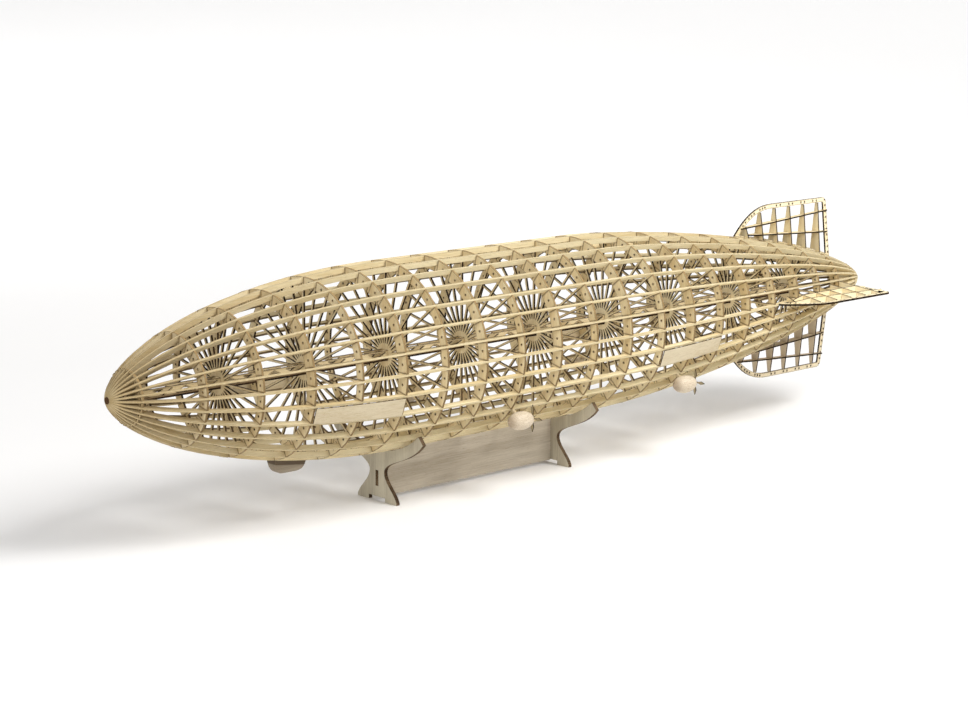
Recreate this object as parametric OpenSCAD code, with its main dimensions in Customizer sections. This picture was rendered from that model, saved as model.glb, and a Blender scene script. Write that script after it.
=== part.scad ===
// Display model of a rigid airship: an open wooden skeleton of rings and stringers
// that lies in a stand of two cradles.
// +X runs from nose to tail, +Y to starboard and +Z up. The origin is on the table,
// under the middle of the hull. All sizes are millimetres.

/* [Hull] */
// Length from nose to tail
hull_length = 1000; // [960:5:1040]
// Largest outer radius
hull_radius = 88; // [84:0.5:94]
// Length over which the bow swells to the full radius
bow_length = 316; // [290:2:340]
// Length over which the stern tapers from the full radius
stern_length = 437; // [410:2:460]
// Height of the underside of the hull above the table
hull_clearance = 49; // [45:0.5:54]

/* [Rings] */
// Thickness of the ring plates
ring_t = 2; // [1.5:0.1:2.4]
// Depth of the rim of a plain ring
plain_rim = 11.5; // [10:0.25:14]
// Depth of the rim of a spoked ring
spoked_rim = 8.5; // [8:0.25:10]
// Width of a spoke
spoke_w = 2; // [1.4:0.1:2.2]
// Radius of the hub of a spoked ring
hub_radius = 11; // [10:0.25:12.5]
// Distance from the nose to the first ring
nose_ring_setback = 20; // [18:0.5:26]
// Distance from the tail to the last ring
tail_ring_setback = 26; // [24:0.5:32]
// Diameter of the dot hole in each bay of a rim
dot_d = 2; // [1:0.1:2.4]

/* [Stringers] */
// Thickness of a stringer
stringer_t = 2; // [1.6:0.1:2.1]
// Depth of a stringer from its outer to its inner edge
stringer_depth = 5; // [4:0.25:5.5]
// Radius of the plugs that the stringers meet at nose and tail
plug_radius = 3; // [2.5:0.1:4]
// Length of those plugs
plug_length = 6; // [5:0.25:9]

/* [Walkway] */
// Width of the walkway along the axis
walkway_w = 10; // [8:0.25:11]
// Height of the walkway with its floor
walkway_h = 9.5; // [8:0.25:11]
// Thickness of its plates
walkway_t = 1.5; // [1:0.1:2]

/* [Fins] */
// Distance from the tail to the front of a fin
fin_front = 210; // [200:1:225]
// Distance from the tail to the rear end of a fin at its root
fin_back = 50; // [40:1:54]
// How far the trailing edge leans forward between root and tip
fin_lean = 9; // [4:0.5:14]
// Length of the curved leading edge
fin_curve = 60; // [45:1:70]
// How far the outer edge stands out beyond the hull's largest radius
fin_rise = 6.5; // [3:0.5:14]
// Thickness of the fin frames
fin_t = 2; // [1.5:0.1:2.4]
// Width of the border of a fin frame
fin_border = 5; // [4:0.25:6]
// Width of the strip of a fin frame that lies on the hull
fin_root_strip = 2; // [1.5:0.1:3]
// Diameter of the dot holes in the border
fin_dot_d = 2; // [1:0.1:2.4]
// Width of a rib where it meets the hull
rib_root_w = 13.5; // [11:0.25:16]
// Width of a rib at the border
rib_tip_w = 3.5; // [3:0.1:5]
// Thickness of ribs and spars
rib_t = 1.5; // [1.2:0.1:2]

/* [Gondola and side plates] */
// Distance from the nose to the middle of the gondola
gondola_x = 189.5; // [182:0.5:197]
// Length of the gondola along its top
gondola_l = 35.5; // [32:0.5:46]
// Height of the gondola below the hull
gondola_h = 11.5; // [10:0.25:16]
// Width of the gondola
gondola_w = 12; // [10:0.25:15]
// Thickness of the side plates
side_plate_t = 0.8; // [0.6:0.1:1.2]

/* [Engines] */
// Distance of the middle of the front nacelles behind the ring next to them
front_engine_offset = 2.4; // [-6:0.1:10]
// Distance of the middle of the rear nacelles behind the ring next to them
rear_engine_offset = -6.1; // [-14:0.1:2]
// Length of a nacelle
nacelle_l = 30; // [26:0.5:34]
// Diameter of a nacelle
nacelle_d = 17.5; // [15:0.25:20]
// Gap between the sweep of a propeller and the hull
propeller_gap = 0.8; // [0.5:0.1:2]
// Diameter of a propeller
propeller_d = 26; // [23:0.5:28]
// Thickness of a propeller
propeller_t = 1; // [0.8:0.1:1.4]
// Largest width of a blade
blade_w = 3.4; // [2.6:0.1:4]
// Diameter of the pin that a propeller turns on
pin_d = 1.2; // [1:0.1:1.6]
// Diameter of a strut
strut_d = 3; // [2:0.1:3.6]

/* [Stand] */
// Distance from the nose to the middle of the front cradle
front_cradle_x = 298; // [288:0.5:308]
// Distance from the nose to the middle of the rear cradle
rear_cradle_x = 522.5; // [510:0.5:532]
// Thickness of the cradles
cradle_t = 4; // [3:0.1:5]
// Thickness of the long board
board_t = 3.8; // [3:0.1:5]
// Half the width of a cradle at its feet
foot_half_w = 27.5; // [24:0.5:34]
// Half the width of a cradle at its neck
neck_half_w = 10.25; // [8:0.25:12]
// Height of the neck
neck_z = 28; // [26:0.5:31]
// Angle from straight down to the end of a saddle horn
horn_angle = 41; // [36:0.5:46]
// Width of a saddle horn at its end
horn_w = 9.5; // [8:0.25:11]
// Width of the notch between the feet
notch_w = 23; // [18:0.5:27]
// Height of that notch
notch_h = 4.2; // [3:0.1:5]
// Height of the lower edge of the board above the table
board_lift = 3.5; // [2:0.25:6]
// Height of the lower edge of the tab slot above the table
tab_z = 14.2; // [12:0.2:16]
// Height of the tabs
tab_h = 14.8; // [12:0.2:17]

/* [Fits] */
// Gap between glued pieces
glue_gap = 0.05; // [0.03:0.01:0.08]
// Gap below a stringer in its slot
slot_floor_gap = 0.25; // [0.2:0.01:0.35]
// Gap between the hull and its saddles
saddle_gap = 0.15; // [0.12:0.01:0.3]
// Running clearance of a propeller around its pin
pin_clearance = 0.05; // [0.03:0.01:0.09]
// End play of a propeller on its pin
end_play = 0.3; // [0.2:0.05:0.5]

/* [Hidden] */
stringer_count = 28;
ring_count = 21;
spoked_count = 9;
plain_count = 10;
step = 360 / stringer_count;
pair_count = stringer_count / 2 - 1;
engine_stringer_index = 10;
engine_ring_indices = [8, 13];
side_plate_bay_index = 8.5;

bow_power = 2.19;
bow_root = 1.6;
stern_power = 1.425;
stern_root = 1.605;
axis_z = hull_clearance + hull_radius;
ring_pitch = (hull_length - nose_ring_setback - tail_ring_setback) / (ring_count - 1);

basswood = "#dcc391";
pale_wood = "#ead6ae";
plywood = "#c9b083";
turned_wood = "#e6cbaa";
dark_wood = "#a98a5c";
brass = "#b59a5a";

FIN_SIDES = ["top", "port", "bottom", "starboard"];
ENGINES = ["front_port", "front_starboard", "rear_port", "rear_starboard"];

// Outer radius of the hull at a distance x from the nose
function hull_r(x) =
    x <= 0 || x >= hull_length ? 0
    : x < bow_length ? hull_radius * pow(1 - pow(1 - x / bow_length, bow_power), 1 / bow_root)
    : x > hull_length - stern_length
        ? hull_radius * pow(1 - pow(1 - (hull_length - x) / stern_length, stern_power), 1 / stern_root)
    : hull_radius;

// Distances from the nose at which bow and stern have the radius r
function bow_x(r) = bow_length * (1 - pow(1 - pow(r / hull_radius, bow_root), 1 / bow_power));
function stern_x(r) =
    hull_length - stern_length * (1 - pow(1 - pow(r / hull_radius, stern_root), 1 / stern_power));

// Slope angle of the hull's outline
slope_probe = 0.05;
function hull_tilt(x) = atan((hull_r(x + slope_probe) - hull_r(x - slope_probe)) / (2 * slope_probe));

// A point at depth d under the outline, square to it
function under_hull(x, d) = [x + d * sin(hull_tilt(x)), hull_r(x) - d * cos(hull_tilt(x))];

// Radius of a stringer's inner edge at x, found by walking back to the outline point above it
function foot_of(x, d, tries = 6, at = undef) =
    tries == 0 ? at : foot_of(x, d, tries - 1, x - d * sin(hull_tilt(is_undef(at) ? x : at)));
function inner_r(x) = under_hull(foot_of(x, stringer_depth), stringer_depth)[1];

function ring_x(k) = nose_ring_setback + k * ring_pitch;

// A point in a cross plane: rho out from the axis, t sideways, at an angle from the top to port
function radial(a, t, rho) = rho * [-sin(a), cos(a)] - t * [cos(a), sin(a)];
function polar(a, rho) = radial(a, 0, rho);

// A cubic curve through p[0] and p[3] in n steps, without its last point
function curve(p, n) = [for (i = [0:n - 1]) let (s = i / n, q = 1 - s)
    q * q * q * p[0] + 3 * q * q * s * p[1] + 3 * q * s * s * p[2] + s * s * s * p[3]];

// The hull's own frame: x from the nose, z out from the axis, at an angle from the top to port
module on_hull(angle = 0) {
    translate([-hull_length / 2, 0, axis_z]) rotate([angle, 0, 0]) children();
}

// A plate in a plane through the axis, drawn as (x, radius)
module radial_plate(t) {
    rotate([90, 0, 0]) linear_extrude(height = t, center = true) children();
}

// A plate square to the axis, drawn as (y, z), with its middle at x
module cross_plate(x, t) {
    translate([x, 0, 0]) rotate([90, 0, 90]) linear_extrude(height = t, center = true) children();
}

// The sector of one bay, drawn back from its two sides by a margin
module bay_wedge(margin) {
    apex = margin / sin(step / 2);
    reach = hull_radius + propeller_d;
    cross_plate(hull_length / 2, hull_length + propeller_d)
        polygon([[0, apex], [reach * tan(step / 2), apex + reach], [-reach * tan(step / 2), apex + reach]]);
}

// Stand

saddle_r = hull_radius + saddle_gap;
saddle_steps = 24;
foot_rise = 2;
ankle_pull = [-2, 8];
calf_pull = [0, -9];
neck_pull = [-0.4, 13];
throat_pull = [36.6, -21.5];

module cradle_outline() {
    horn_end = [0, axis_z] - polar(horn_angle, saddle_r + horn_w);
    foot_top = [foot_half_w, foot_rise];
    neck = [neck_half_w, neck_z];
    side = concat(
        [[notch_w / 2, notch_h], [notch_w / 2, 0], [foot_half_w, 0]],
        curve([foot_top, foot_top + ankle_pull, neck + calf_pull, neck], 10),
        curve([neck, neck + neck_pull, [neck_half_w, horn_end[1]] + throat_pull, horn_end], 14),
        [horn_end],
        [for (i = [0:saddle_steps / 2 - 1]) let (a = horn_angle * (1 - 2 * i / saddle_steps))
            [saddle_r * sin(a), axis_z - saddle_r * cos(a)]]
    );
    other = [for (i = [len(side) - 1:-1:0]) [-side[i][0], side[i][1]]];
    polygon(concat(side, [[0, axis_z - saddle_r]], other));
}

module cradle(x) {
    color(plywood) translate([x - hull_length / 2, 0, 0]) cross_plate(0, cradle_t) difference() {
        cradle_outline();
        translate([-board_t / 2 - glue_gap, tab_z - glue_gap])
            square([board_t + 2 * glue_gap, tab_h + 2 * glue_gap]);
    }
}

module stand_board() {
    inner_front = front_cradle_x + cradle_t / 2 + glue_gap;
    inner_rear = rear_cradle_x - cradle_t / 2 - glue_gap;
    top = axis_z - saddle_r;
    color(plywood) translate([-hull_length / 2, 0, 0]) radial_plate(board_t) polygon([
        [inner_front, board_lift], [inner_rear, board_lift],
        [inner_rear, tab_z], [rear_cradle_x + cradle_t / 2, tab_z],
        [rear_cradle_x + cradle_t / 2, tab_z + tab_h], [inner_rear, tab_z + tab_h],
        [inner_rear, top], [inner_front, top],
        [inner_front, tab_z + tab_h], [front_cradle_x - cradle_t / 2, tab_z + tab_h],
        [front_cradle_x - cradle_t / 2, tab_z], [inner_front, tab_z]
    ]);
}

// Rings

ring_sink = 0.1;
arc_steps = 2;
slot_half_w = stringer_t / 2 + glue_gap;

function ring_r(k) = hull_r(ring_x(k)) - ring_sink;
function slot_r(k) =
    min(inner_r(ring_x(k) - ring_t / 2), inner_r(ring_x(k) + ring_t / 2)) - slot_floor_gap;

module ring_outline(k) {
    r = ring_r(k);
    polygon([for (i = [0:stringer_count - 1]) let (a = i * step) each concat(
        [radial(a, -slot_half_w, r), radial(a, -slot_half_w, slot_r(k)),
         radial(a, slot_half_w, slot_r(k)), radial(a, slot_half_w, r)],
        [for (j = [1:arc_steps - 1]) polar(a + j * step / arc_steps, r)]
    )]);
}

// One dot in each bay, no wider than a third of it
module ring_dots(k, depth) {
    rho = ring_r(k) - depth;
    third = rho * tan(step / 2) * 2 / 3;
    for (i = [0:stringer_count - 1])
        translate(polar((i + 0.5) * step, rho)) circle(d = min(dot_d, third), $fn = 6);
}

module walkway_opening() {
    square([walkway_w + 2 * glue_gap, walkway_h + 2 * glue_gap], center = true);
}

module spoke_windows(k) {
    rim = ring_r(k) - spoked_rim;
    half = spoke_w / 2;
    for (i = [0:stringer_count - 1]) {
        a = i * step;
        b = a + step;
        polygon([radial(a, half, hub_radius), radial(a, half, rim), polar((a + b) / 2, rim),
                 radial(b, -half, rim), radial(b, -half, hub_radius)]);
    }
}

module spoked_ring(k) {
    color(basswood) on_hull() cross_plate(ring_x(k), ring_t) difference() {
        ring_outline(k);
        spoke_windows(k);
        ring_dots(k, spoked_rim / 2);
        walkway_opening();
    }
}

module plain_ring(k) {
    inner = ring_r(k) - plain_rim;
    color(basswood) on_hull() cross_plate(ring_x(k), ring_t) difference() {
        ring_outline(k);
        polygon([for (i = [0:2 * stringer_count - 1]) polar(i * step / 2, inner)]);
        ring_dots(k, plain_rim / 2);
    }
}

module nose_ring() {
    color(basswood) on_hull() cross_plate(ring_x(0), ring_t) difference() {
        ring_outline(0);
        ring_dots(0, stringer_depth / 2);
        walkway_opening();
    }
}

module tail_ring() {
    color(basswood) on_hull() cross_plate(ring_x(ring_count - 1), ring_t) ring_outline(ring_count - 1);
}

// Stringers

bow_steps = 24;
stern_steps = 28;
end_r = plug_radius + glue_gap;

// Places along the hull, closer together where the outline bends more
stations = let (first = bow_x(end_r), last = stern_x(end_r)) concat(
    [for (i = [0:bow_steps]) first + (bow_length - first) * pow(i / bow_steps, 2)],
    [for (i = [stern_steps:-1:0]) last - (last - hull_length + stern_length) * pow(i / stern_steps, 2)]
);

// A stringer is glued up from lengths that meet end to end inside the slots of these rings
joint_rings = [5, 10, 15];
stringer_joints = [for (k = joint_rings) ring_x(k)];
stringer_starts = concat([0], [for (x = stringer_joints) x + glue_gap / 2]);
stringer_ends = concat([for (x = stringer_joints) x - glue_gap / 2], [hull_length]);

// One length of a stringer, between two places along the hull
module stringer_outline(start, end) {
    head = start > 0 ? [start] : [];
    tail = end < hull_length ? [end] : [];
    outer = [for (x = concat(head, [for (s = stations) if (s > start && s < end) s], tail)) [x, hull_r(x)]];
    inner = concat(
        [for (x = head) [x, inner_r(x)]],
        [for (s = stations) let (p = under_hull(s, stringer_depth))
            if (p[0] > start && p[0] < end) [p[0], max(p[1], end_r)]],
        [for (x = tail) [x, inner_r(x)]]
    );
    polygon(concat(outer, [for (i = [len(inner) - 1:-1:0]) inner[i]]));
}

module stringer(i) {
    on_hull(i * step) for (n = [0:len(joint_rings)]) intersection() {
        radial_plate(stringer_t) stringer_outline(stringer_starts[n], stringer_ends[n]);
        bay_wedge(glue_gap);
    }
}

module stringer_pair(i) {
    color(pale_wood) {
        stringer(i);
        stringer(-i);
    }
}

// A plug has the same number of sides as there are stringers, so that each end lies flat on it
module plug(outer_face, dir) {
    color(dark_wood) on_hull() cross_plate(outer_face + dir * plug_length / 2, plug_length)
        polygon([for (i = [0:stringer_count - 1]) polar((i + 0.5) * step, plug_radius)]);
}

// Walkway

walkway_front = ring_x(0) - ring_t;
walkway_rear = ring_x(2 * spoked_count) + ring_t;
cell = ring_pitch / 2;
cell_count = floor((walkway_rear - walkway_front) / cell);
truss_chord = 1.3;
truss_web = 1.6;
floor_slot_w = 3.5;
floor_slot_margin = 4;

module walkway_floor() {
    length = walkway_rear - walkway_front;
    color(basswood) on_hull() translate([walkway_front, 0, -walkway_h / 2])
        linear_extrude(height = walkway_t) difference() {
            translate([0, -walkway_w / 2]) square([length, walkway_w]);
            for (i = [0:cell_count - 1])
                translate([i * cell + floor_slot_margin, -floor_slot_w / 2])
                    square([cell - 2 * floor_slot_margin, floor_slot_w]);
        }
}

// A triangle that points up or down inside one cell of the truss
module truss_gap(x, up, low, high) {
    base = up ? low : high;
    tip = up ? high : low;
    polygon([[x + truss_web, base], [x + cell - truss_web, base], [x + cell / 2, tip]]);
}

module walkway_side_outline() {
    low = -walkway_h / 2 + walkway_t;
    high = walkway_h / 2;
    difference() {
        translate([walkway_front, low]) square([walkway_rear - walkway_front, high - low]);
        for (i = [0:cell_count - 1])
            truss_gap(walkway_front + i * cell, i % 2 == 0, low + truss_chord, high - truss_chord);
    }
}

module walkway_sides() {
    color(basswood) on_hull() for (side = [-1, 1])
        translate([0, side * (walkway_w - walkway_t) / 2, 0]) radial_plate(walkway_t) walkway_side_outline();
}

// Fins

fin_x0 = hull_length - fin_front;
fin_x1 = hull_length - fin_back;
tip_x = fin_x1 - fin_lean;
fin_tip = hull_radius + fin_rise;
corner_r = 6;
leading_steps = 9;
leading_power = 2.3;
root_steps = 10;
spar_count = 2;
rib_count = 6;
rib_x = [for (j = [rib_count - 1:-1:0]) ring_x(ring_count - 2) - j * ring_pitch / 2];

function fin_root(x) = hull_r(x) + glue_gap;

// The curved leading edge, from s = 0 at the hull to s = 1 at the outer edge
function leading(s) = let (foot = fin_root(fin_x0))
    [fin_x0 + s * fin_curve, foot + (fin_tip - foot) * (1 - pow(1 - s, leading_power))];
// Its height at a distance x from the nose
function leading_r(x) = leading(min(1, max(0, (x - fin_x0) / fin_curve)))[1];

// A fin's outline with its root edge lowered by drop
module fin_outline(drop) {
    rear_corner = curve([[tip_x - corner_r, fin_tip], [tip_x - corner_r / 2, fin_tip],
                         [tip_x, fin_tip - corner_r / 2], [tip_x, fin_tip - corner_r]], 5);
    polygon(concat(
        [for (i = [0:leading_steps]) leading(i / leading_steps)],
        rear_corner, [[tip_x, fin_tip - corner_r]],
        [for (i = [0:root_steps]) let (x = fin_x1 + (fin_x0 - fin_x1) * i / root_steps)
            [x, fin_root(x) - drop]]
    ));
}

// Dots along the middle of the border: groups of three between the ribs on the leading edge, pairs between
// the ribs on the outer edge, single ones down the trailing edge and two at its foot
leading_groups = [[0.2, 0.27], [0.36, 0.43, 0.5], [0.66, 0.73, 0.8]];
outer_pairs = [0.12, 0.35, 0.58, 0.81];
pair_half_gap = 0.035;
trailing_dots = 9;
foot_dot_gap = 5;
module fin_dots() {
    mid = fin_border / 2;
    outer_front = fin_x0 + fin_curve;
    foot = [fin_x1 - mid, fin_root(fin_x1) + fin_border];
    corner = [tip_x - mid, fin_tip - mid];
    places = concat(
        [for (group = leading_groups, s = group) let (p = leading(s), q = leading(s - slope_probe),
            d = (p - q) / norm(p - q)) p + mid * [d[1], -d[0]]],
        [for (s = outer_pairs, side = [-1, 1])
            [outer_front + (s + side * pair_half_gap) * (corner[0] - outer_front), corner[1]]],
        [for (i = [0:trailing_dots]) corner + (foot - corner) * i / trailing_dots],
        [foot - [foot_dot_gap, 0]]
    );
    for (p = places) translate(p) circle(d = fin_dot_d, $fn = 6);
}

module fin_frame(angle) {
    color(basswood) on_hull(angle) radial_plate(fin_t) difference() {
        fin_outline(0);
        offset(delta = -fin_border) fin_outline(fin_border - fin_root_strip);
        fin_dots();
    }
}

// Top of a rib: just under the inner edge of the border, which lies square to the leading edge
rib_tip_gap = 0.3;
function leading_tilt(x) = atan((leading_r(x + slope_probe) - leading_r(x - slope_probe)) / (2 * slope_probe));
function rib_top(x) = min(fin_tip - fin_border,
    leading_r(x - fin_border * sin(leading_tilt(x))) - fin_border * cos(leading_tilt(x))) - rib_tip_gap;
function rib_half(x, rho) =
    let (s = (rho - fin_root(x)) / (rib_top(x) - fin_root(x))) (rib_root_w * (1 - s) + rib_tip_w * s) / 2;

// Front and rear end of the outer and the inner spar, from the front and the rear of the fin's root
spar_end_w = 4.4;
spar_rear_slot = 6;
outer_spar_front_slot = 5.6;
outer_spar = [[10, 7.2], [-7.5, 15.5]];
inner_spar = [[23, -0.5], [-6.5, -8.2]];
spar_foot = fin_root(fin_x0);
spars = [for (spar = [outer_spar, inner_spar]) [[fin_x0, spar_foot] + spar[0], [fin_x1, spar_foot] + spar[1]]];
function spar_rho(n, x) = let (p = spars[n][0], q = spars[n][1])
    p[1] + (q[1] - p[1]) * (x - p[0]) / (q[0] - p[0]);
function spar_tilt(n) = let (p = spars[n][0], q = spars[n][1]) atan2(q[1] - p[1], q[0] - p[0]);
function crosses(n, x) = x > spars[n][0][0] && x < spars[n][1][0];

module fin_rib(x) {
    base = fin_root(x - rib_t / 2);
    top = rib_top(x - rib_t / 2);
    slot_h = rib_t + 2 * glue_gap + rib_t * tan(abs(spar_tilt(0)) + abs(spar_tilt(1)));
    straddle = fin_t / 2 + glue_gap;
    cross_plate(x, rib_t) difference() {
        polygon([[-rib_half(x, base), base], [rib_half(x, base), base],
                 [rib_half(x, top), top], [-rib_half(x, top), top]]);
        translate([-straddle, 0]) square([2 * straddle, fin_root(x - rib_t / 2) + fin_root_strip + glue_gap]);
        for (n = [0:spar_count - 1]) if (crosses(n, x))
            translate([0, spar_rho(n, x) - slot_h / 2]) square([rib_root_w, slot_h]);
    }
}

// A spar is as wide as the ribs that it crosses, has a slot at each of them, and straddles the border
module fin_spar(n) {
    p = spars[n][0];
    q = spars[n][1];
    crossed = [for (x = rib_x) if (crosses(n, x)) x];
    half = concat([spar_end_w / 2], [for (x = crossed) rib_half(x, spar_rho(n, x))], [spar_end_w / 2]);
    along = [for (x = concat([p[0]], crossed, [q[0]])) (x - p[0]) / cos(spar_tilt(n))];
    last = len(along) - 1;
    slot_w = rib_t + 2 * glue_gap + rib_t * tan(abs(spar_tilt(n)));
    straddle = fin_t + 2 * glue_gap;
    front_slot = n == 0 ? outer_spar_front_slot : 0;
    translate([p[0], 0, p[1]]) rotate([0, -spar_tilt(n), 0]) linear_extrude(height = rib_t, center = true)
        difference() {
            polygon(concat([for (i = [0:last]) [along[i], half[i]]],
                           [for (i = [last:-1:0]) [along[i], -half[i]]]));
            for (i = [1:last - 1])
                translate([along[i] - slot_w / 2, -rib_root_w]) square([slot_w, rib_root_w + glue_gap]);
            if (front_slot > 0) translate([-front_slot, -straddle / 2]) square([2 * front_slot, straddle]);
            translate([along[last] - spar_rear_slot, -straddle / 2]) square([2 * spar_rear_slot, straddle]);
        }
}

module fin_ribs(angles) {
    color(basswood) for (angle = angles) on_hull(angle) for (x = rib_x) fin_rib(x);
}

module fin_spars(angles) {
    color(basswood) for (angle = angles) on_hull(angle) for (n = [0:spar_count - 1]) fin_spar(n);
}

// Gondola and side plates

module control_gondola() {
    front = gondola_x - gondola_l / 2;
    rear = gondola_x + gondola_l / 2;
    keel = hull_r(gondola_x) + gondola_h;
    top_steps = 4;
    round_l = 10;
    bow_round_l = 14;
    end_pull = 3;
    chine = 2;
    deck = hull_r(front) - chine;
    color(dark_wood) on_hull(180) intersection() {
        radial_plate(gondola_w) polygon(concat(
            curve([[front, fin_root(front)], [front + end_pull, keel - chine],
                   [front + round_l / 2, keel], [front + bow_round_l, keel]], 7),
            curve([[rear - round_l, keel], [rear - round_l / 2, keel],
                   [rear - end_pull, keel - chine], [rear, fin_root(rear)]], 7),
            [for (i = [0:top_steps]) let (x = rear + (front - rear) * i / top_steps) [x, fin_root(x)]]
        ));
        cross_plate(gondola_x, gondola_l) polygon([
            [-gondola_w / 2, deck], [gondola_w / 2, deck],
            [gondola_w / 2, keel - gondola_h / 2], [gondola_w / 2 - chine / 2, keel - chine],
            [gondola_w / 4, keel], [-gondola_w / 4, keel],
            [chine / 2 - gondola_w / 2, keel - chine], [-gondola_w / 2, keel - gondola_h / 2]
        ]);
    }
}

// The first ring that each side plate starts behind, and the number of bays it covers
side_plate_first_rings = [3, 12];
side_plate_bay_count = 2;
module side_plates() {
    plate_steps = 6;
    color(pale_wood) for (k = side_plate_first_rings, side = [-1, 1]) {
        front = ring_x(k) + ring_t / 2;
        rear = ring_x(k + side_plate_bay_count) - ring_t / 2;
        xs = [for (i = [0:plate_steps]) front + (rear - front) * i / plate_steps];
        on_hull(side * side_plate_bay_index * step) intersection() {
            radial_plate(hull_radius) polygon(concat(
                [for (x = xs) [x, hull_r(x) + glue_gap]],
                [for (i = [plate_steps:-1:0]) [xs[i], hull_r(xs[i]) + glue_gap + side_plate_t]]
            ));
            bay_wedge(slot_half_w);
        }
    }
}

// Engines

engine_lift = propeller_d / 2 + propeller_gap;
pin_head_d = 2.4;
pin_head_t = 0.8;
hub_d = 3;
pin_depth = 6;
nacelle_tail_r = 2;
nacelle_nub_l = 2;
strut_depth = 3;
nacelle_steps = 18;

function engine_x(n) = n < 2
    ? ring_x(engine_ring_indices[0]) + front_engine_offset
    : ring_x(engine_ring_indices[1]) + rear_engine_offset;
function engine_angle(n) = (n % 2 == 0 ? 1 : -1) * engine_stringer_index * step;
function engine_rho(n) = hull_r(engine_x(n)) + engine_lift;

// The middle of a nacelle, with +Z along its axis to the rear
module at_engine(n) {
    on_hull(engine_angle(n)) translate([engine_x(n), 0, engine_rho(n)]) rotate([0, 90, 0]) children();
}

// Egg outline: an ellipse with a small point in front, cut flat behind for the propeller
function nacelle_r(s) = nacelle_d / 2 * sqrt(max(0, 1 - pow(2 * s - 1, 2)));
module nacelle_profile() {
    tail_s = 0.5 + sqrt(1 - pow(2 * nacelle_tail_r / nacelle_d, 2)) / 2;
    first_s = 0.015;
    polygon(concat([[0, -nacelle_l / 2 - nacelle_nub_l]],
        [for (i = [0:nacelle_steps])
            let (s = first_s + (tail_s - first_s) * (1 - cos(180 * i / nacelle_steps)) / 2)
            [nacelle_r(s), (s - 0.5) * nacelle_l]],
        [[0, (tail_s - 0.5) * nacelle_l]]));
}
nacelle_tail = sqrt(1 - pow(2 * nacelle_tail_r / nacelle_d, 2)) * nacelle_l / 2;

module engine_nacelles() {
    color(turned_wood) for (n = [0:3]) at_engine(n) difference() {
        rotate_extrude($fn = 64) nacelle_profile();
        translate([0, 0, nacelle_tail - pin_depth])
            cylinder(d = pin_d + 2 * glue_gap, h = 2 * pin_depth, $fn = 32);
        translate([nacelle_d / 2 - strut_depth, 0, 0]) rotate([0, 90, 0])
            cylinder(d = strut_d + 2 * glue_gap, h = nacelle_d, $fn = 32);
    }
}

module engine_struts() {
    color(basswood) for (n = [0:3]) {
        foot = max(hull_r(engine_x(n) - strut_d / 2), hull_r(engine_x(n))) + glue_gap;
        top = engine_rho(n) - nacelle_d / 2 + strut_depth - glue_gap;
        on_hull(engine_angle(n)) translate([engine_x(n), 0, foot])
            cylinder(d = strut_d, h = top - foot, $fn = 32);
    }
}

module propeller_pins() {
    shaft = pin_depth - glue_gap + propeller_t + end_play;
    color(brass) for (n = [0:3]) at_engine(n) translate([0, 0, nacelle_tail - pin_depth + glue_gap]) {
        cylinder(d = pin_d, h = shaft + pin_head_t, $fn = 32);
        translate([0, 0, shaft]) cylinder(d = pin_head_d, h = pin_head_t, $fn = 32);
    }
}

// Four paddles with a narrow neck, a wide middle and a pointed end, upright and level at rest
module propeller_outline(angle) {
    tip = propeller_d / 2;
    wide = 0.62 * tip;
    narrow = 0.3 * tip;
    root_half = 0.7;
    neck_half = 0.6;
    for (a = [0, 90, 180, 270]) rotate(a - angle) polygon([
        [0, -root_half], [narrow, -neck_half], [wide, -blade_w / 2], [tip, 0],
        [wide, blade_w / 2], [narrow, neck_half], [0, root_half]
    ]);
    circle(d = hub_d, $fn = 32);
}

module propeller(n) {
    color(basswood) at_engine(n) translate([0, 0, nacelle_tail + end_play / 2])
        linear_extrude(height = propeller_t) difference() {
            propeller_outline(engine_angle(n));
            circle(d = pin_d + 2 * pin_clearance, $fn = 32);
        }
}

cradle(front_cradle_x);  // stand_front_cradle
cradle(rear_cradle_x);  // stand_rear_cradle
stand_board();
nose_ring();
tail_ring();
for (k = [1:spoked_count]) spoked_ring(2 * k);
for (k = [1:plain_count]) plain_ring(2 * k - 1);
color(pale_wood) stringer(0);  // top_stringer
color(pale_wood) stringer(stringer_count / 2);  // bottom_stringer
for (k = [1:pair_count]) stringer_pair(k);
plug(0, 1);  // nose_plug
plug(hull_length, -1);  // tail_plug
walkway_floor();
walkway_sides();
for (i = [0:3]) fin_frame(90 * i);
fin_ribs([0, 180]);  // upright_fin_ribs
fin_ribs([90, 270]);  // level_fin_ribs
fin_spars([0, 180]);  // upright_fin_spars
fin_spars([90, 270]);  // level_fin_spars
control_gondola();
side_plates();
engine_nacelles();
engine_struts();
propeller_pins();
for (n = [0:3]) propeller(n);
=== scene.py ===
"""Looks of a display model: an open airship skeleton of laser-cut wood in a stand of two cradles.

The solids of the frame keep their shapes. This script gives each of them its wood, with the grain
along the sheet and scorched cut edges, and adds the floor, the light and the camera. Everything is
in metres, +X from nose to tail, +Y to starboard, +Z up, with the origin on the table.
"""

import math

import bpy
import numpy as np
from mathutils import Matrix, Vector


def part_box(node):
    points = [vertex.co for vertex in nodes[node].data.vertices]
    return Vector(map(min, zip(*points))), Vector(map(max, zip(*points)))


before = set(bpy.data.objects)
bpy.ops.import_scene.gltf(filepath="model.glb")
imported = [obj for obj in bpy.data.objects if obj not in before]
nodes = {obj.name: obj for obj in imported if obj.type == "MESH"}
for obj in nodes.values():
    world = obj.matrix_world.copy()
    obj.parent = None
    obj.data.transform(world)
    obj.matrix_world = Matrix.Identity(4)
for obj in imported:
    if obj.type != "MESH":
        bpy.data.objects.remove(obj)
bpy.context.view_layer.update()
scene = bpy.context.scene
scene.view_settings.view_transform = "Standard"

# The axes, and OUT for a plate whose faces look away from the hull's axis
X, Y, Z, OUT = 0, 1, 2, 3

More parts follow.
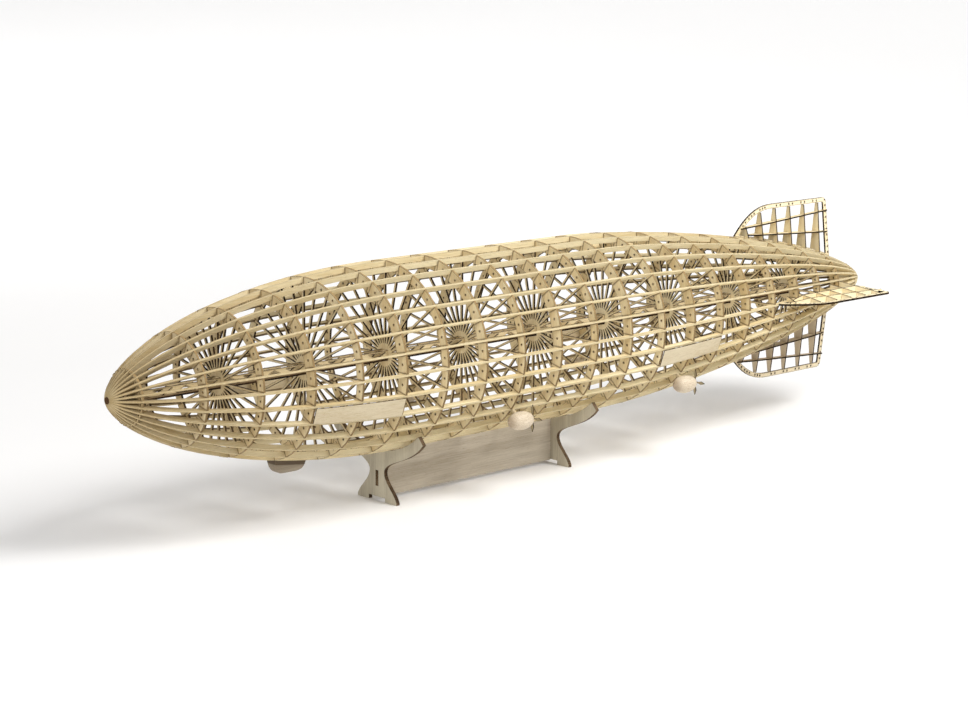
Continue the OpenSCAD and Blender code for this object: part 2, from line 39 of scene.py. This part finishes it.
# Measures of the hull and of what hangs on it
AXIS_Z = 0.137
RING_PITCH = 0.0477
FIRST_RING = -0.48
STRINGER_STEP = 2 * math.pi / 28
GONDOLA_SLOPE = 0.135
GONDOLA_DEPTH = 0.0115
NACELLE_LENGTH = 0.0316

# Soft steps along the hull, each from a first to a second place
# The first two fade the nose's brown and painted shade, the third the painted shade on the
# stringers' sides
BOW_BROWN_AND_SHADE_FADE = (-0.5, -0.15)
NOSE_FADE = (-0.5, -0.43)
FLANK_FADE = (-0.46, -0.34)

# Soft steps upwards: from the table for the fin, from the hull's axis for the others
# Top of the bottom fin, under which grey light from below is painted
BOTTOM_FIN_TOP = (0.1, 0.125)
# Top of the walkway's lower rail, which is painted with shade
LOW_RAIL_TOP = (-0.0018, -0.001)
# Where the nose's brown and painted shade weakens below, as painted light from below
LOW_BOW_BROWN_AND_SHADE = (-0.05, 0.0)
# Where the rings' char turns paler below, as painted light from below
LIT_LOW_CHAR_STEP = (-0.06, 0.0)

# Soft steps away from a stringer's middle plane, and from the hull's axis for the last
STRIP_FLANK = (0.0005, 0.0009)
# The next two bound the burn and the stringer's painted shadow beside a slot
SLOT_SIDE = (0.0009, 0.0011)
SLOT_BURN_AND_SHADE_END = (0.0011, 0.003)
SPOKE_FOOT = (0.02, 0.04)

# Soft steps below the hull for the gondola's band, and behind a nacelle's fore tip for its painted
# shade
GONDOLA_BAND_END = (0.0036, 0.0046)
FORE_SHADE_END = (0.0, 0.01)

# Widths of the brown beside a cut
EDGE_HALO = 0.0005
STRIP_HALO = 0.0006
RING_HALO = 0.0013
WIDE_HALO = 0.002

# Sizes of patterns: length along the grain and width across it
BANDS = (0.22, 0.013)
FIBRES = (0.035, 0.0009)
PORES = (0.006, 0.00035)
STRIPES = (0.006, 0.0006)
PATCHES = (0.012, 0.012)
NACELLE_BEND = (0.04, 0.012)
NACELLE_FIBRES = (0.02, 0.0005)
NACELLE_FLECKS = (0.0022, 0.0005)
PLUG_SOOT = (0.002, 0.0012)
TARNISH = (0.004, 0.0008)
TABLE_MOTTLE = (0.4, 0.4)

# Steps of the nacelles' yearly rings and tool lines, and heights of bumps
YEAR_STEP = 0.0026
TOOL_STEP = 0.0005
FIBRE_HEIGHT = 0.00012
FINE_HEIGHT = 0.0001
SANDED_HEIGHT = 0.00008

# The table top: half its width, where it starts to bend up, how fast, and its points in a row
FLOOR_REACH = 9.0
FLOOR_FLAT = 4.0
FLOOR_BEND = 0.16
FLOOR_POINTS = 73
GLOW_STEP = (0.3, 3.0)

# The room's light, and each lamp's place, aim, width and power
ROOM_STRENGTH = 0.34
LAMPS = {
    "key_lamp": ((0.55, -1.2, 1.7), (0.1, 0.0, 0.13), 1.0, 40.0),
    "bow_lamp": ((-3.6, -2.2, 2.6), (0.0, 0.0, 0.13), 2.0, 71.0),
    "starboard_lamp": ((1.2, 3.4, 2.6), (0.0, 0.0, 0.13), 2.0, 44.0),
}

# The camera: sensor and lens in millimetres, place in metres, turn in degrees
SENSOR_WIDTH = 36.0
LENS = 87.172
CAMERA_PLACE = (-1.5752, -1.61117, 0.55364)
CAMERA_TURN = (78.6939, -0.4004, -42.9919)


def shade(red, green, blue):
    """A screen colour from 0 to 255 as the linear colour that a shader takes."""
    screen = np.array([red, green, blue]) / 255
    linear = np.where(screen < 0.04045, screen / 12.92, ((screen + 0.055) / 1.055) ** 2.4)
    return (*linear.tolist(), 1.0)


# Woods, each a light and a dark
GOLDEN = (shade(244, 230, 194), shade(222, 200, 154))
PALE = (shade(250, 238, 204), shade(234, 213, 166))
CREAM = (shade(242, 228, 192), shade(220, 200, 154))
PLATE = (shade(210, 197, 169), shade(190, 173, 140))
SMOKED = (shade(205, 198, 178), shade(176, 167, 147))
BOARD = (shade(203, 193, 175), shade(173, 161, 142))
WALKWAY = (shade(224, 206, 166), shade(198, 174, 128))
PROPELLER = (shade(178, 167, 138), shade(144, 131, 104))
STRIP = (shade(236, 223, 186), shade(210, 189, 142))
STRIP_CROWN = (shade(214, 199, 162), shade(192, 174, 132))
NACELLE = (shade(216, 203, 181), shade(198, 180, 154))
GONDOLA = (shade(178, 166, 147), shade(140, 128, 109))
DOWEL = (shade(216, 200, 166), shade(186, 164, 126))

# Burnt wood, each a dark and a light, and scorches, each a weight and a colour
CHAR = (shade(16, 9, 4), shade(54, 35, 15))
LIGHT_CHAR = (shade(62, 46, 32), shade(116, 96, 74))
PLUG_CHAR = (shade(48, 32, 20), shade(98, 68, 40))
SCORCH = (0.8, shade(86, 61, 32))
DEEP_SCORCH = (0.9, shade(76, 52, 27))

# Single tints that are laid over a wood; some are painted light or shade, as said beside them
PORE = shade(126, 92, 52)
# Brown towards the nose, partly the wood's own and partly painted shade
BOW_BROWN_AND_SHADE = shade(160, 131, 82)
# Grey light from below, painted on the bottom fin
PAINTED_GREY_LIGHT = shade(200, 184, 162)
# Shade painted on the walkway's lower rail
RAIL_SHADE = shade(104, 78, 46)
# Burn beside a slot with the stringer's painted shadow
SLOT_BURN_AND_SHADE = shade(96, 68, 36)
# Paler char below the axis: painted light from below
LIT_LOW_CHAR = shade(124, 102, 72)
# Outward ring edges: partly sanded, partly painted light
SANDED_AND_LIT_RIM = shade(172, 144, 100)
STRIP_EDGE = shade(104, 76, 42)
# Painted shade on the stringers' sides near the nose
STRIP_GAP_SHADE = shade(84, 60, 34)
STRIP_INSIDE = shade(70, 48, 24)
NACELLE_YEAR = shade(184, 163, 134)
NACELLE_FLECK = shade(150, 122, 92)
# Painted shade on a nacelle's fore end
NACELLE_FORE_SHADE = shade(124, 100, 74)
GONDOLA_BAND = shade(74, 58, 42)

# The pins' brass, and the table with its glow
BRASS = (shade(196, 162, 92), shade(138, 108, 58))
TABLE = (shade(250, 249, 248), shade(246, 245, 244))
TABLE_GLOW = (shade(0, 0, 0), shade(190, 190, 190))


class Value:
    """One output of a shader node. Arithmetic on it adds Math nodes to its finish."""

    def __init__(self, finish, socket):
        self.finish = finish
        self.socket = socket

    def math(self, operation, *values):
        """A Math node of that operation on the given values."""
        return self.finish.node("Math", {"operation": operation}, dict(enumerate(values)))

    def __add__(self, other):
        return self.math("ADD", self, other)

    def __sub__(self, other):
        return self.math("SUBTRACT", self, other)

    def __rsub__(self, other):
        return self.math("SUBTRACT", other, self)

    def __mul__(self, other):
        return self.math("MULTIPLY", self, other)

    def __truediv__(self, other):
        return self.math("DIVIDE", self, other)

    def __abs__(self):
        return self.math("ABSOLUTE", self)

    __radd__ = __add__
    __rmul__ = __mul__

    def wave(self):
        """The sine of this angle."""
        return self.math("SINE", self)

    def rounded(self):
        """The nearest whole number."""
        return self.math("ROUND", self)

    def root(self):
        """The square root."""
        return self.math("SQRT", self)

    def angle(self, along):
        """The angle whose tangent is this value over the other, all the way round."""
        return self.math("ARCTAN2", self, along)

    def past(self, limit):
        """1 above the limit and 0 below it."""
        return self.math("GREATER_THAN", self, limit)

    def between(self, low, high):
        """0 below low, 1 above high, with a soft step from one to the other."""
        settings = {"interpolation_type": "SMOOTHSTEP"}
        return self.finish.node("MapRange", settings, {0: self, 1: low, 2: high})


class Finish:
    """A material whose nodes are made by one method, around one Principled shader."""

    def __init__(self, name, roughness=0.6, specular=0.15):
        self.material = bpy.data.materials.new(name)
        self.material.use_nodes = True
        self.tree = self.material.node_tree
        self.shader = self.tree.nodes["Principled BSDF"]
        self.shader.inputs["Roughness"].default_value = roughness
        self.shader.inputs["Specular IOR Level"].default_value = specular
        self.place = self.node("TexCoord", out="Object")
        self.facing = self.node("TexCoord", out="Normal")

    def node(self, kind, settings=None, inputs=None, out=0):
        """Adds a node of that kind, sets it, feeds its inputs and gives one output."""
        made = self.tree.nodes.new("ShaderNode" + kind)
        for key, value in (settings or {}).items():
            setattr(made, key, value)
        for key, value in (inputs or {}).items():
            self.feed(made.inputs[key], value)
        return Value(self, made.outputs[out])

    def feed(self, socket, value):
        """Links a value to a socket, or sets the socket to a plain number or colour."""
        if isinstance(value, Value):
            self.tree.links.new(value.socket, socket)
        else:
            socket.default_value = value

    def part(self, vector, axis):
        """One of a vector's three numbers."""
        return self.node("SeparateXYZ", None, {0: vector}, out=axis)

    def at(self, axis):
        """The place along one axis of the model."""
        return self.part(self.place, axis)

    def joined(self, x, y, z):
        """A vector of three numbers."""
        return self.node("CombineXYZ", None, {0: x, 1: y, 2: z})

    def dot(self, one, other):
        """The dot product of two vectors."""
        settings = {"operation": "DOT_PRODUCT"}
        return self.node("VectorMath", settings, {0: one, 1: other}, out="Value")

    def noise(self, along, size, detail=2.0, roughness=0.5):
        """A noise whose size is its length along one axis and its width across it, in metres."""
        length, width = size
        scale = [1 / width] * 3
        scale[along] = 1 / length
        drawn = self.node("Mapping", None, {"Vector": self.place, "Scale": scale})
        inputs = {"Vector": drawn, "Scale": 1.0, "Detail": detail, "Roughness": roughness}
        return self.node("TexNoise", None, inputs)

    def chance(self, number):
        """A steady random number from 0 to 1 for each whole number."""
        settings = {"noise_dimensions": "1D"}
        return self.node("TexWhiteNoise", settings, {"W": number}, out="Value")

    def mix(self, share, first, second):
        """The first colour with that share of the second."""
        return self.node("Mix", {"data_type": "RGBA"}, {0: share, 6: first, 7: second}, out=2)

    def paint(self, **inputs):
        """Feeds sockets of the shader, named with _ for each space."""
        for key, value in inputs.items():
            self.feed(self.shader.inputs[key.replace("_", " ")], value)

    def raised(self, height, distance=FIBRE_HEIGHT, strength=0.5):
        """A bump of that height, which is the distance in metres where it is 1."""
        inputs = {"Strength": strength, "Distance": distance, "Height": height}
        self.paint(Normal=self.node("Bump", None, inputs))


def above_axis(finish):
    """Height above the hull's axis."""
    return finish.at(Z) - AXIS_Z


def way_out(finish):
    """The way out from the hull's axis, as a vector of length 1."""
    out = finish.joined(0.0, finish.at(Y), above_axis(finish))
    return finish.node("VectorMath", {"operation": "NORMALIZE"}, {0: out})


def stringer_turn(finish):
    """Angle about the hull's axis from straight up, counted in steps from stringer to stringer."""
    return finish.at(Y).angle(above_axis(finish)) * (1 / STRINGER_STEP)


def from_stringer(finish):
    """Distance from the nearest stringer's middle plane, and distance from the hull's axis.

    The second is the root of two squares. The first is the second times the sine of the angle
    between the place and that stringer.
    """
    side = finish.at(Y)
    height = above_axis(finish)
    radius = (side * side + height * height).root()
    turn = stringer_turn(finish)
    offset = abs(((turn - turn.rounded()) * STRINGER_STEP).wave() * radius)
    return offset, radius


def near_slot_burn_and_shade(finish):
    """How far a place of a ring lies beside a slot, where the cutter turned and burnt the wood and
    where the stringer's shadow is painted.
    """
    offset, radius = from_stringer(finish)
    beside = offset.between(*SLOT_SIDE) * (1 - offset.between(*SLOT_BURN_AND_SHADE_END))
    return beside * radius.between(*SPOKE_FOOT)


def bow_brown_and_shade(finish):
    """How far the wood is browned and darkened by painted shade: most at the nose, not at all from
    amidships on, less below, which paints light from below.
    """
    along = finish.at(X)
    brown = 0.55 - along.between(*BOW_BROWN_AND_SHADE_FADE) * 0.35 - along.between(*NOSE_FADE) * 0.2
    return brown * (0.65 + above_axis(finish).between(*LOW_BOW_BROWN_AND_SHADE) * 0.35)


def ring_tone(finish):
    """Each ring was cut from another place of the sheet: a steady shift by its number."""
    number = ((finish.at(X) - FIRST_RING) / RING_PITCH).rounded()
    return (finish.chance(number) - 0.5) * 0.5


def strip_tone(finish):
    """Each stringer is another strip: a steady shift by its number."""
    return (finish.chance(stringer_turn(finish).rounded()) - 0.5) * 0.5


def on_bottom_fin(finish):
    """1 below the stern, where the bottom fin is, and 0 above."""
    return 1 - finish.at(Z).between(*BOTTOM_FIN_TOP)


def on_low_rail(finish):
    """1 on the lower rail of the walkway's sides, and 0 above it."""
    return 1 - above_axis(finish).between(*LOW_RAIL_TOP)


def near_edge(finish, width):
    """How near a place is to an edge of its piece.

    Near an edge a rounded normal leans away from the true one, so their dot product falls.
    """
    rounded = finish.node("Bevel", {"samples": 4}, {"Radius": width})
    true = finish.node("NewGeometry", out="True Normal")
    return (1 - finish.dot(rounded, true)).between(0.003, 0.1)


def cut_edge(finish, face):
    """1 on the cut edges of a sheet and 0 on its faces.

    A face looks along the given axis, or away from the hull's axis for a plate on the hull.
    """
    if face == OUT:
        lean = finish.dot(finish.facing, way_out(finish))
    else:
        lean = finish.part(finish.facing, face)
    return 1 - abs(lean).between(0.45, 0.75)


def timber(finish, grain, wood, tone=0.0):
    """Bare wood: slow bands, fibres a millimetre wide and short dark pores along the grain.

    The colour goes from the wood's light to its dark by the sum of two drawn-out noises. Tone, a
    number near 0, shifts the whole piece. Gives the colour and the height of the fibres.
    """
    bands = finish.noise(grain, BANDS)
    fibres = finish.noise(grain, FIBRES, 3.0, 0.6)
    pores = finish.noise(grain, PORES, 1.0)
    share = (bands - 0.5) * 1.5 + (fibres - 0.5) * 1.3 + tone + 0.5
    body = finish.mix(share.between(0.0, 1.0), *wood)
    pits = pores.between(0.62, 0.74)
    return finish.mix(pits * 0.35, body, PORE), fibres - pits * 0.5


def charring(finish, face, char):
    """Burnt wood: fine stripes through the sheet, darker and lighter along the cut.

    The colour goes from the char's dark to its light by the sum of a striped and a patchy noise.
    Gives the colour and the height of the stripes.
    """
    through = X if face == OUT else face
    stripes = finish.noise(through, STRIPES)
    patches = finish.noise(X, PATCHES, 1.0)
    soot = (stripes * 0.6 + patches * 0.7).between(0.45, 0.85)
    return finish.mix(soot, *char), stripes


def cut_out(finish, face, wood, burnt, halo, scorch):
    """Lays a scorch along the outline of a sheet and burnt wood on its edges.

    Wood and burnt are each a colour and a height, and halo is the width of the scorch.
    """
    body, fibres = wood
    charred, stripes = burnt
    weight, brown = scorch
    edge = cut_edge(finish, face)
    browned = finish.mix(near_edge(finish, halo) * weight, body, brown)
    finish.paint(Base_Color=finish.mix(edge, browned, charred))
    finish.paint(Roughness=0.58 + edge * 0.24 + fibres * 0.08)
    finish.raised(fibres * (1 - edge) + stripes * edge)
    return finish.material


def cut_sheet(name, face, grain, wood, painted_shading=None, halo=EDGE_HALO, scorch=SCORCH, char=CHAR):
    """A laser-cut sheet whose faces look along one axis and whose grain runs along another.

    Painted light or shade can lie on one part of the sheet: where, how strongly and in which
    colour.
    """
    finish = Finish(name)
    body, fibres = timber(finish, grain, wood)
    if painted_shading:
        where, strength, colour = painted_shading
        # Light or shade painted on one part of the sheet
        body = finish.mix(where(finish) * strength, body, colour)
    burnt = charring(finish, face, char)
    return cut_out(finish, face, (body, fibres), burnt, halo, scorch)


def ring_sheet(name):
    """The rings: laser-cut sheets, browned and painted with shade towards the nose, burnt beside
    each slot and painted there with the stringer's shadow.

    Below the hull's axis the char is painted paler, as light from below. The edges that look away
    from the axis are paler too, partly sanded back and partly painted light, most the ones that
    look up.
    """
    finish = Finish(name)
    body, fibres = timber(finish, Z, GOLDEN, ring_tone(finish))
    # Brown and painted shade towards the nose, weaker below as painted light from below
    body = finish.mix(bow_brown_and_shade(finish), body, BOW_BROWN_AND_SHADE)
    # Burn and the stringer's painted shadow beside each slot
    body = finish.mix(near_slot_burn_and_shade(finish) * 0.7, body, SLOT_BURN_AND_SHADE)
    charred, stripes = charring(finish, X, CHAR)
    # Char painted paler below the axis, as light from below
    low = 1 - above_axis(finish).between(*LIT_LOW_CHAR_STEP)
    charred = finish.mix(low * 0.45, charred, LIT_LOW_CHAR)
    # Outward edges paler, partly sanded and partly painted light that grows where they look up
    outward = finish.dot(finish.facing, way_out(finish)).between(0.7, 0.9)
    upward = finish.part(finish.facing, Z).between(-0.3, 0.7)
    sanded = outward * (0.2 + stripes * 0.4 + upward * 0.4)
    charred = finish.mix(sanded, charred, SANDED_AND_LIT_RIM)
    return cut_out(finish, X, (body, fibres), (charred, stripes), RING_HALO, SCORCH)


def bent_strip(name):
    """The stringers: clean strips, pale outside and on their sides, dark inside, brown and painted
    shade at the nose.

    The outside is where the surface faces away from the hull's axis. Near the nose painted shade,
    as in the gaps between strips, darkens the sides a little, so that each strip is set off from
    the next.
    """
    finish = Finish(name)
    body, fibres = timber(finish, X, STRIP, strip_tone(finish))
    out = finish.dot(finish.facing, way_out(finish))
    crown = finish.mix(fibres.between(0.3, 0.7), *STRIP_CROWN)
    topped = finish.mix(out.between(0.5, 0.8), body, crown)
    # Brown and painted shade towards the nose
    bow_shaded = finish.mix(bow_brown_and_shade(finish), topped, BOW_BROWN_AND_SHADE)
    edged = finish.mix(near_edge(finish, STRIP_HALO) * 0.4, bow_shaded, STRIP_EDGE)
    # Painted shade on the sides near the nose, as in the gaps between strips
    flank = from_stringer(finish)[0].between(*STRIP_FLANK)
    line = flank * (1 - finish.at(X).between(*FLANK_FADE))
    gap_shaded = finish.mix(line * 0.22, edged, STRIP_GAP_SHADE)
    inside = (out * -1).between(0.5, 0.8)
    finish.paint(Base_Color=finish.mix(inside * 0.85, gap_shaded, STRIP_INSIDE))
    finish.paint(Roughness=0.6 + fibres * 0.08)
    finish.raised(fibres)
    return finish.material


def turned_wood(name):
    """The nacelles, turned and sanded: yearly rings, short flecks, tool lines, painted shade on the
    fore end.

    The yearly rings are a sine of the distance from a slanted plane, bent by a slow noise. The
    painted shade fades with the distance behind the fore tip of the front or of the rear pair.
    """
    finish = Finish(name, specular=0.3)
    bend = finish.noise(X, NACELLE_BEND)
    fibres = finish.noise(X, NACELLE_FIBRES, 3.0)
    flecks = finish.noise(X, NACELLE_FLECKS, 1.0)
    slant = abs(finish.at(Y)) * 0.6 + finish.at(Z) * 0.8 + bend * 0.004
    years = (slant * (2 * math.pi / YEAR_STEP)).wave()
    pale = finish.mix(fibres.between(0.3, 0.75), *NACELLE)
    banded = finish.mix(years.between(0.3, 1.0) * 0.2, pale, NACELLE_YEAR)
    flecked = finish.mix(flecks.between(0.56, 0.7) * 0.6, banded, NACELLE_FLECK)
    along = finish.at(X)
    low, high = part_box("engine_nacelles")
    rear = along.past((low.x + high.x) / 2)
    behind = along - low.x - rear * (high.x - NACELLE_LENGTH - low.x)
    # Painted shade on each nacelle's fore end
    fore = 1 - behind.between(*FORE_SHADE_END)
    finish.paint(Base_Color=finish.mix(fore * 0.65, flecked, NACELLE_FORE_SHADE))
    finish.paint(Roughness=0.4 + fibres * 0.1)
    lines = (along * (2 * math.pi / TOOL_STEP)).wave()
    finish.raised(fibres * 0.6 + lines * 0.1, SANDED_HEIGHT, 0.4)
    return finish.material


def gondola_wood(name):
    """The gondola: smoked wood with a narrow charred band close under the hull.

    The band is measured down from the hull's underside, a line that rises towards the nose.
    """
    finish = Finish(name)
    body, fibres = timber(finish, X, GONDOLA)
    low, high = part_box("control_gondola")
    ahead = (low.x + high.x) / 2 - finish.at(X)
    underside = ahead * GONDOLA_SLOPE + (low.z + GONDOLA_DEPTH)
    drop = underside - finish.at(Z)
    band = 1 - drop.between(*GONDOLA_BAND_END)
    finish.paint(Base_Color=finish.mix(band * 0.8, body, GONDOLA_BAND))
    finish.raised(fibres)
    return finish.material


def charred_plug(name):
    """The plugs at nose and tail: end grain burnt dark by the cut."""
    finish = Finish(name, roughness=0.8)
    soot = finish.noise(X, PLUG_SOOT, 3.0)
    finish.paint(Base_Color=finish.mix(soot.between(0.3, 0.7), *PLUG_CHAR))
    finish.raised(soot, FINE_HEIGHT)
    return finish.material


def dowel_wood(name):
    """The struts: thin round dowels with their grain towards the hull."""
    finish = Finish(name)
    body, fibres = timber(finish, Z, DOWEL)
    finish.paint(Base_Color=body)
    finish.raised(fibres, FINE_HEIGHT, 0.4)
    return finish.material


def pin_brass(name):
    """The propellers' pins: drawn brass wire with a dull tarnish along it."""
    finish = Finish(name, specular=0.5)
    dull = finish.noise(X, TARNISH, 3.0)
    finish.paint(Base_Color=finish.mix(dull.between(0.3, 0.7), *BRASS))
    finish.paint(Roughness=0.28 + dull * 0.25, Metallic=1.0)
    return finish.material


def pale_table(name):
    """The table: a pale mottled top that glows far away from the object.

    The glow is for camera, glossy and transmission rays alone, so it lights nothing.
    """
    finish = Finish(name, roughness=0.9, specular=0.1)
    finish.paint(Base_Color=finish.mix(finish.noise(X, TABLE_MOTTLE), *TABLE))
    away = finish.node("VectorMath", {"operation": "LENGTH"}, {0: finish.place}, out="Value")
    rays = ("Camera", "Glossy", "Transmission")
    seen = [finish.node("LightPath", out=f"Is {ray} Ray") for ray in rays]
    glow = away.between(*GLOW_STEP) * (seen[0] + seen[1] + seen[2])
    finish.paint(Emission_Color=finish.mix(glow, *TABLE_GLOW), Emission_Strength=1.0)
    return finish.material


def dress(material, *names):
    """Gives nodes of the frame that material in place of their own."""
    for name in names:
        held = nodes[name].data.materials
        held.clear()
        held.append(material)


def numbered(name, count):
    """The names of a row of nodes, counted from 1."""
    return [f"{name}_{n}" for n in range(1, count + 1)]


def floor():
    """A wide pale table top under the object that bends up far away on every side, as one grid.

    The height is nought up to the bend and then a parabola of the distance past it.
    """
    across = np.linspace(-FLOOR_REACH, FLOOR_REACH, FLOOR_POINTS)
    u, v = np.meshgrid(across, across, indexing="ij")
    past = np.clip(np.hypot(u, v) - FLOOR_FLAT, 0.0, None)
    points = np.stack([u, v, past ** 2 * FLOOR_BEND], axis=-1)
    index = np.arange(u.size).reshape(u.shape)
    corners = [index[:-1, :-1], index[1:, :-1], index[1:, 1:], index[:-1, 1:]]
    faces = np.stack(corners, axis=-1).reshape(-1, 4)
    mesh = bpy.data.meshes.new("floor")
    mesh.from_pydata(points.reshape(-1, 3), [], faces.tolist())
    mesh.polygons.foreach_set("use_smooth", np.ones(len(faces), bool))
    mesh.materials.append(pale_table("pale_table"))
    made = bpy.data.objects.new("floor", mesh)
    scene.collection.objects.link(made)


def soft_lamp(name, place, target, width, power):
    """A square lamp that looks from its place at a target, and isn't seen itself."""
    lamp = bpy.data.lights.new(name, "AREA")
    lamp.size = width
    lamp.energy = power
    made = bpy.data.objects.new(name, lamp)
    made.location = place
    aim = Vector(target) - Vector(place)
    made.rotation_euler = aim.to_track_quat("-Z", "Y").to_euler()
    made.visible_camera = False
    scene.collection.objects.link(made)


def light():
    """An even pale room and three soft lamps: to port, far off the bow and far to starboard."""
    world = bpy.data.worlds.new("pale_room")
    world.use_nodes = True
    room = world.node_tree.nodes["Background"]
    room.inputs["Color"].default_value = (1.0, 1.0, 1.0, 1.0)
    room.inputs["Strength"].default_value = ROOM_STRENGTH
    scene.world = world
    for name, lamp in LAMPS.items():
        soft_lamp(name, *lamp)


def camera():
    """The photograph's view: a long lens off the port bow, a little above the hull."""
    lens = bpy.data.cameras.new("camera")
    lens.sensor_width = SENSOR_WIDTH
    lens.lens = LENS
    made = bpy.data.objects.new("camera", lens)
    made.location = CAMERA_PLACE
    made.rotation_euler = [math.radians(turn) for turn in CAMERA_TURN]
    scene.collection.objects.link(made)
    scene.camera = made


# Nodes that share a finish
rings = numbered("main_ring", 9) + numbered("intermediate_ring", 10) + ["nose_ring", "tail_ring"]
strips = numbered("stringer_pair", 13) + ["top_stringer", "bottom_stringer"]
props = [f"{end}_{side}_propeller" for end in ("front", "rear") for side in ("port", "starboard")]

# Fins and walkway are scorched wide and deep. The bottom fin is painted with grey light from below
# and the walkway's lower rail with shade
deep_cut = {"halo": WIDE_HALO, "scorch": DEEP_SCORCH}
# Painted grey light from below on the bottom fin
frame_grey_light = (on_bottom_fin, 0.4, PAINTED_GREY_LIGHT)
ribs_grey_light = (on_bottom_fin, 0.8, PAINTED_GREY_LIGHT)
# Painted shade on the walkway's lower rail
shaded_rail = (on_low_rail, 0.75, RAIL_SHADE)

# The hull
dress(ring_sheet("ring_sheet"), *rings)
dress(bent_strip("bent_strip"), *strips)
dress(charred_plug("charred_plug"), "nose_plug", "tail_plug")
dress(cut_sheet("walkway_floor_sheet", Z, X, WALKWAY, **deep_cut), "walkway_floor")
dress(cut_sheet("walkway_side_sheet", Y, X, WALKWAY, shaded_rail, **deep_cut), "walkway_sides")
dress(cut_sheet("side_plate_sheet", OUT, X, PLATE), "side_plates")

# The fins
upright_frame = cut_sheet("upright_fin_sheet", Y, X, PALE, frame_grey_light, **deep_cut)
level_frame = cut_sheet("level_fin_sheet", Z, X, PALE, **deep_cut)
dress(upright_frame, "top_fin_frame", "bottom_fin_frame")
dress(level_frame, "port_fin_frame", "starboard_fin_frame")
dress(cut_sheet("upright_rib_sheet", X, Z, CREAM, ribs_grey_light), "upright_fin_ribs")
dress(cut_sheet("level_rib_sheet", X, Y, PALE), "level_fin_ribs")
dress(cut_sheet("upright_spar_sheet", Z, X, CREAM, ribs_grey_light), "upright_fin_spars")
dress(cut_sheet("level_spar_sheet", Y, X, PALE), "level_fin_spars")

# The gondola and the engines
dress(gondola_wood("gondola_wood"), "control_gondola")
dress(turned_wood("turned_wood"), "engine_nacelles")
dress(dowel_wood("dowel_wood"), "engine_struts")
dress(pin_brass("pin_brass"), "propeller_pins")
dress(cut_sheet("propeller_sheet", X, Z, PROPELLER), *props)

# The stand
cradle = cut_sheet("cradle_sheet", X, Z, SMOKED, char=LIGHT_CHAR)
dress(cradle, "stand_front_cradle", "stand_rear_cradle")
dress(cut_sheet("board_sheet", Y, X, BOARD, char=LIGHT_CHAR), "stand_board")

floor()
light()
camera()
